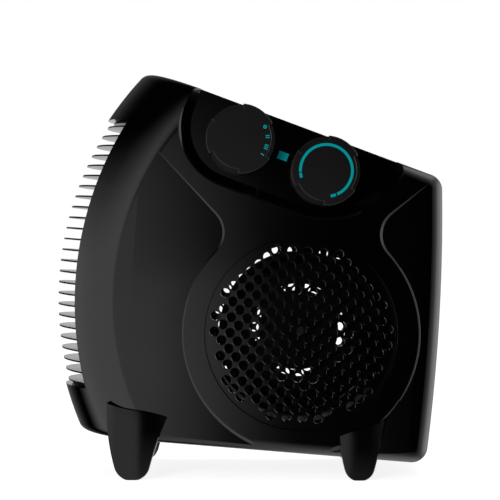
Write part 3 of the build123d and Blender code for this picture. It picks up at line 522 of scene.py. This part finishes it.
@dataclass
class RingEdge:
    """The rounded edge of the raised middle, where it comes closest to the back."""

    radius: float = 76.5 * MM
    bead: float = 0.7 * MM
    rise: float = 0.28 * MM
    half_sweep: float = 34.0
    facets: int = 16
    steps: int = 48

    def build(self, shop: Workshop) -> None:
        """Model the edge and place it.

        Args:
            shop: Where finishes come from.
        """
        low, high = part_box("control_side_inlet_grille")
        axis = Vector(((low.x + high.x) / 2, low.y + self.bead - self.rise, (low.z + high.z) / 2))
        deselect_all()
        bpy.ops.mesh.primitive_circle_add(vertices=self.facets, radius=self.bead, fill_type="NGON",
                                          location=axis + Vector((self.radius, 0, 0)))
        edge = bpy.context.object
        settle(edge)
        sweep = math.radians(self.half_sweep)
        with editing(edge):
            bpy.ops.transform.rotate(value=-sweep, orient_axis="Y", center_override=axis)
            bpy.ops.mesh.spin(steps=self.steps, angle=2 * sweep, center=axis, axis=(0, 1, 0))
            bpy.ops.mesh.select_all(action="SELECT")
            bpy.ops.mesh.normals_make_consistent(inside=False)
        smooth(edge)
        shop.place(edge, "middle_edge", "case_plastic", Body.CASE)


# Studio


class Shape(Enum):
    """How brightness grows along a fade."""

    STRAIGHT = "LINEAR"
    SOFT = "SMOOTHSTEP"


@dataclass(frozen=True)
class Fade:
    """A step from none to full, between two values of a measure in either order."""

    dark: float
    bright: float
    shape: Shape = Shape.SOFT


@dataclass
class NodeBench:
    """Short ways to add maths to a node tree."""

    tree: bpy.types.NodeTree

    def math(self, operation: str, first: Input, second: Input) -> bpy.types.NodeSocket:
        """A maths node on two inputs.

        Args:
            operation: Blender's name of the operation.
            first: A socket or a number.
            second: A socket or a number.

        Returns:
            The result's socket.
        """
        node = self.tree.nodes.new("ShaderNodeMath")
        node.operation = operation
        for socket, value in zip(node.inputs, (first, second)):
            if isinstance(value, (int, float)):
                socket.default_value = value
            else:
                self.tree.links.new(value, socket)
        return node.outputs[0]

    def ramp(self, source: bpy.types.NodeSocket, fade: Fade) -> bpy.types.NodeSocket:
        """A fade along one measure.

        Args:
            source: What is measured.
            fade: Where it starts and ends.

        Returns:
            A socket from 0 to 1.
        """
        node = self.tree.nodes.new("ShaderNodeMapRange")
        node.interpolation_type = fade.shape.value
        node.inputs["From Min"].default_value = fade.dark
        node.inputs["From Max"].default_value = fade.bright
        self.tree.links.new(source, node.inputs["Value"])
        return node.outputs["Result"]

    def product(self, *factors: Input) -> bpy.types.NodeSocket:
        """All factors multiplied; the first is a socket."""
        return reduce(lambda first, second: self.math("MULTIPLY", first, second), factors)

    def brightest(self, *values: Input) -> bpy.types.NodeSocket:
        """The largest of some values; the first is a socket."""
        return reduce(lambda first, second: self.math("MAXIMUM", first, second), values)

    def split(self, coordinate: str) -> list[bpy.types.NodeSocket]:
        """The three parts of a texture coordinate."""
        place = self.tree.nodes.new("ShaderNodeTexCoord")
        parts = self.tree.nodes.new("ShaderNodeSeparateXYZ")
        self.tree.links.new(place.outputs[coordinate], parts.inputs[0])
        return list(parts.outputs)

    def rays(self) -> tuple[bpy.types.NodeSocket, bpy.types.NodeSocket, bpy.types.NodeSocket]:
        """Ray tests: seen by the camera or through glass, seen in gloss, lighting a matt surface."""
        path = self.tree.nodes.new("ShaderNodeLightPath")
        shown = self.math("MAXIMUM", path.outputs["Is Camera Ray"], path.outputs["Is Transmission Ray"])
        return shown, path.outputs["Is Glossy Ray"], path.outputs["Is Diffuse Ray"]


@dataclass
class Cards:
    """What gloss sees around the object, by direction: side runs right, depth runs back, height runs up."""

    wall: float = 0.75
    wall_side: Fade = Fade(0.010, -0.07, Shape.STRAIGHT)
    wall_height: Fade = Fade(0.13, 0.02)
    ground: float = 0.82
    ground_side: Fade = Fade(0.014, -0.036, Shape.STRAIGHT)
    ground_height: Fade = Fade(0.02, -0.03)
    beyond: float = 1.2
    beyond_side: Fade = Fade(-0.08, -0.30)
    beyond_height: Fade = Fade(0.57, 0.05)
    left_depth: Fade = Fade(0.45, -0.05)
    panel: float = 0.95
    panel_tilt: Fade = Fade(0.16, 0.72, Shape.STRAIGHT)
    strip: float = 2.8
    strip_tilt: Fade = Fade(0.70, 1.0)
    right_height: Fade = Fade(0.90, 0.60)
    top_slope: float = 0.30
    above_along: Fade = Fade(0.12, 0.15)
    under: float = 0.6
    under_side: Fade = Fade(-0.12, 0.03)
    over: float = 0.13
    over_depth: Fade = Fade(0.15, 0.95)
    over_height: Fade = Fade(0.10, 0.40)
    back: float = 0.9
    back_side: Fade = Fade(-0.30, 0.0)
    back_glow: float = 0.16
    behind_depth: Fade = Fade(0.50, 0.95)
    behind_height: Fade = Fade(0.35, 0.05)

    def brightness(self, bench: NodeBench) -> bpy.types.NodeSocket:
        """All cards together.

        Args:
            bench: The world's node bench.

        Returns:
            A socket with the brightness by direction.
        """
        side, depth, height = bench.split("Generated")
        return bench.brightest(self.left(bench, side, depth, height), self.rims(bench, side, height),
                               self.far(bench, side, depth, height))

    def left(self, bench: NodeBench, side: bpy.types.NodeSocket, depth: bpy.types.NodeSocket,
             height: bpy.types.NodeSocket) -> bpy.types.NodeSocket:
        """A wall and a ground on the left, and a brighter card beyond them.

        Args:
            bench: The world's node bench.
            side: The direction's part to the right.
            depth: The direction's part to the back.
            height: The direction's part upwards.

        Returns:
            A socket with the brightness.
        """
        wall = bench.product(bench.ramp(side, self.wall_side), bench.ramp(height, self.wall_height), self.wall)
        ground = bench.product(bench.ramp(side, self.ground_side), bench.ramp(height, self.ground_height),
                               self.ground)
        beyond = bench.product(bench.ramp(side, self.beyond_side), bench.ramp(height, self.beyond_height),
                               self.beyond)
        return bench.product(bench.brightest(wall, ground, beyond), bench.ramp(depth, self.left_depth))

    def rims(self, bench: NodeBench, side: bpy.types.NodeSocket,
             height: bpy.types.NodeSocket) -> bpy.types.NodeSocket:
        """Cards on the right, above and below, which light the rims.

        Args:
            bench: The world's node bench.
            side: The direction's part to the right.
            height: The direction's part upwards.

        Returns:
            A socket with the brightness.
        """
        right = bench.product(self.rising(bench, side), bench.ramp(height, self.right_height))
        along_top = bench.math("SUBTRACT", side, bench.product(height, self.top_slope))
        above = bench.product(self.rising(bench, height), bench.ramp(along_top, self.above_along))
        down = bench.product(height, -1.0)
        under = bench.product(self.rising(bench, down), bench.ramp(side, self.under_side), self.under)
        return bench.brightest(right, above, under)

    def far(self, bench: NodeBench, side: bpy.types.NodeSocket, depth: bpy.types.NodeSocket,
            height: bpy.types.NodeSocket) -> bpy.types.NodeSocket:
        """A dim card overhead, and a low one behind the object that is brighter on the right.

        Args:
            bench: The world's node bench.
            side: The direction's part to the right.
            depth: The direction's part to the back.
            height: The direction's part upwards.

        Returns:
            A socket with the brightness.
        """
        over = bench.product(bench.ramp(depth, self.over_depth), bench.ramp(height, self.over_height), self.over)
        behind = bench.product(bench.ramp(depth, self.behind_depth), bench.ramp(height, self.behind_height))
        back = bench.product(behind, bench.ramp(side, self.back_side), self.back)
        return bench.brightest(over, back, bench.product(behind, self.back_glow))

    def rising(self, bench: NodeBench, tilt: bpy.types.NodeSocket) -> bpy.types.NodeSocket:
        """A card that starts beside the dark front and grows towards its strip.

        Args:
            bench: The world's node bench.
            tilt: How far a direction leans towards the card.

        Returns:
            A socket with the card's brightness.
        """
        panel = bench.product(bench.ramp(tilt, self.panel_tilt), self.panel)
        strip = bench.product(bench.ramp(tilt, self.strip_tilt), self.strip - self.panel)
        return bench.math("ADD", panel, strip)


@dataclass
class Softbox:
    """A rectangular studio lamp."""

    name: str
    place: Point
    target: Point
    size: tuple[float, float]
    power: float

    def build(self) -> None:
        """Add the lamp, turned towards its target."""
        aim = Vector(self.target) - Vector(self.place)
        turn = aim.to_track_quat("-Z", "Y").to_euler()
        bpy.ops.object.light_add(type="AREA", location=self.place, rotation=turn)
        lamp = bpy.context.object
        lamp.name = self.name
        lamp.data.shape = "RECTANGLE"
        lamp.data.size, lamp.data.size_y = self.size
        lamp.data.energy = self.power
        lamp.visible_camera = False
        lamp.visible_glossy = False


@dataclass
class Studio:
    """Camera, lamps, white floor and white surroundings with reflector cards."""

    camera_place: Point = (0.0024, -1.10375, 0.149)
    half_view: float = 8.73
    sensor: float = 36.0
    floor_size: float = 14.0
    floor_glow: float = 0.86
    floor_tone: float = 0.30
    surround: float = 0.60
    cards: Cards = field(default_factory=Cards)

    def build(self) -> None:
        """Set up the whole studio."""
        self.add_camera()
        self.add_floor()
        self.add_world()
        for lamp in self.lamps():
            lamp.build()
        bpy.context.scene.view_settings.view_transform = "Standard"

    def lamps(self) -> list[Softbox]:
        """The lamps of the studio.

        Returns:
            Softboxes, ready to be built.
        """
        return [
            Softbox("left_front_softbox", (-1.1, -2.4, 0.9), (-0.02, -0.05, 0.12), (0.9, 1.3), 45.0),
            Softbox("overhead_softbox", (0.0, 0.1, 1.8), (0.0, 0.0, 0.1), (1.2, 0.8), 14.0),
        ]

    def add_camera(self) -> None:
        """A level camera square to the control side."""
        bpy.ops.object.camera_add(location=self.camera_place, rotation=(math.radians(90), 0, 0))
        camera = bpy.context.object
        camera.data.sensor_width = self.sensor
        camera.data.lens = self.sensor / 2 / math.tan(math.radians(self.half_view))
        camera.data.clip_start = 0.01
        bpy.context.scene.camera = camera

    def add_floor(self) -> None:
        """A pale floor that stays white and keeps a soft shadow; gloss looks through it to the cards."""
        deselect_all()
        bpy.ops.mesh.primitive_plane_add(size=self.floor_size, location=(0, 0, 0))
        floor = bpy.context.object
        floor.name = "studio_floor"
        material = bpy.data.materials.new("studio_floor")
        material.use_nodes = True
        tree = material.node_tree
        tree.nodes.clear()
        bench = NodeBench(tree)
        shown, glossy, _ = bench.rays()
        glow = tree.nodes.new("ShaderNodeEmission")
        glow.inputs["Color"].default_value = (1, 1, 1, 1)
        tree.links.new(bench.product(shown, self.floor_glow), glow.inputs["Strength"])
        matt = tree.nodes.new("ShaderNodeBsdfDiffuse")
        matt.inputs["Color"].default_value = (self.floor_tone,) * 3 + (1,)
        lit = tree.nodes.new("ShaderNodeAddShader")
        tree.links.new(glow.outputs[0], lit.inputs[0])
        tree.links.new(matt.outputs[0], lit.inputs[1])
        clear = tree.nodes.new("ShaderNodeBsdfTransparent")
        choice = tree.nodes.new("ShaderNodeMixShader")
        tree.links.new(glossy, choice.inputs[0])
        tree.links.new(lit.outputs[0], choice.inputs[1])
        tree.links.new(clear.outputs[0], choice.inputs[2])
        out = tree.nodes.new("ShaderNodeOutputMaterial")
        tree.links.new(choice.outputs[0], out.inputs["Surface"])
        floor.data.materials.append(material)

    def add_world(self) -> None:
        """White surroundings: plain light on the object, cards and a white back in its gloss."""
        world = bpy.data.worlds.new("studio")
        bpy.context.scene.world = world
        world.use_nodes = True
        world.cycles.sampling_method = "NONE"
        tree = world.node_tree
        tree.nodes.clear()
        bench = NodeBench(tree)
        shown, glossy, matt = bench.rays()
        bright = bench.math("MULTIPLY", glossy, self.cards.brightness(bench))
        bright = bench.math("ADD", bright, shown)
        bright = bench.math("ADD", bright, bench.math("MULTIPLY", matt, self.surround))
        back = tree.nodes.new("ShaderNodeBackground")
        back.inputs["Color"].default_value = (1, 1, 1, 1)
        tree.links.new(bright, back.inputs["Strength"])
        out = tree.nodes.new("ShaderNodeOutputWorld")
        tree.links.new(back.outputs[0], out.inputs["Surface"])


def main() -> None:
    """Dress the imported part, add the new pieces and set up the studio."""
    logging.basicConfig(level=logging.INFO, format="%(message)s")
    grain_group()
    line_group()
    shop = Workshop()
    shop.dress_frame()
    SelectorMarks().build(shop)
    ThermostatMarks().build(shop)
    RingEdge().build(shop)
    Studio().build()


if __name__ == "__main__":
    main()
